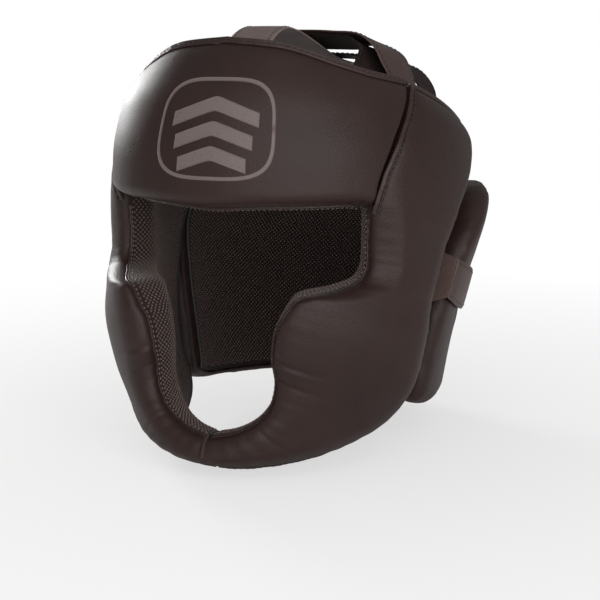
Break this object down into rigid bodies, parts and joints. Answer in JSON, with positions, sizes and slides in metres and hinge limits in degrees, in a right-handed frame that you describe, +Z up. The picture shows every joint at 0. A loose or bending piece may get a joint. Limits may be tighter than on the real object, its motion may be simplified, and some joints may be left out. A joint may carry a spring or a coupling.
{
  "type": "boxing headgear",
  "caption": "Full-face padded boxing headgear with cheek and chin protection, crossed crown straps and a hinged neck pad closed by a hook-and-loop tab.",
  "frame": {"origin": "middle of the head cavity at brow level, on the plane of symmetry", "axes": "+X to the wearer's left, -Y to the front, +Z up"},
  "size_m": [0.2174, 0.2576, 0.2398],
  "materials": {
    "cover_leather": "matte dark brown-black synthetic leather with fine grain",
    "trim_leather": "rolled and topstitched synthetic leather binding",
    "strap_leather": "flat synthetic leather strap with stitched edges",
    "lining_fabric": "textured sweat lining with small raised dots",
    "padding_foam": "closed-cell foam padding",
    "webbing": "woven polyester webbing",
    "hook_and_loop": "black hook and loop tape"
  },
  "bodies": {
    "root": {"chin_seam_strip": "trim_leather", "crown_centre_strap": "strap_leather", "crown_front_strap": "strap_leather", "crown_front_webbing": "webbing", "crown_rear_strap": "webbing", "forehead_brow_binding": "trim_leather", "forehead_brow_wall": "lining_fabric", "forehead_cover": "cover_leather", "forehead_foam": "padding_foam", "forehead_lining": "lining_fabric", "forehead_rim_binding": "trim_leather", "forehead_rim_cap": "trim_leather", "left_cheek_foam": "padding_foam", "left_chin_foam": "padding_foam", "left_face_binding": "trim_leather", "left_face_wall": "lining_fabric", "left_outer_binding": "trim_leather", "left_outer_wall": "lining_fabric", "left_rim_binding": "trim_leather", "left_rim_cap": "trim_leather", "left_seam_strip": "trim_leather", "left_side_cover": "cover_leather", "left_side_foam": "padding_foam", "left_side_lining": "lining_fabric", "left_strap_anchor": "webbing", "right_cheek_foam": "padding_foam", "right_chin_foam": "padding_foam", "right_face_binding": "trim_leather", "right_face_wall": "lining_fabric", "right_loop_patch": "hook_and_loop", "right_outer_binding": "trim_leather", "right_outer_wall": "lining_fabric", "right_rim_binding": "trim_leather", "right_rim_cap": "trim_leather", "right_seam_strip": "trim_leather", "right_side_cover": "cover_leather", "right_side_foam": "padding_foam", "right_side_lining": "lining_fabric"},
    "rear_pad": {"rear_pad_bottom_gusset": "trim_leather", "rear_pad_cover": "cover_leather", "rear_pad_foam": "padding_foam", "rear_pad_left_gusset": "trim_leather", "rear_pad_lining": "lining_fabric", "rear_pad_right_gusset": "trim_leather", "rear_pad_top_gusset": "trim_leather", "closure_strap": "strap_leather"},
    "closure_tab": {"closure_tab": "strap_leather", "closure_hook_patch": "hook_and_loop"}
  },
  "joints": [
    {"name": "rear_pad_swing", "type": "hinge", "parent": "root", "child": "rear_pad", "pos_m": [0.1006, -0.0105, -0.049], "axis": [-0.1558, -0.3008, -0.9409], "range_deg": [0, 100]},
    {"name": "closure_tab_peel", "type": "hinge", "parent": "rear_pad", "child": "closure_tab", "pos_m": [-0.1006, -0.0105, -0.049], "axis": [0.1558, -0.3008, -0.9409], "range_deg": [0, 90]}
  ]
}
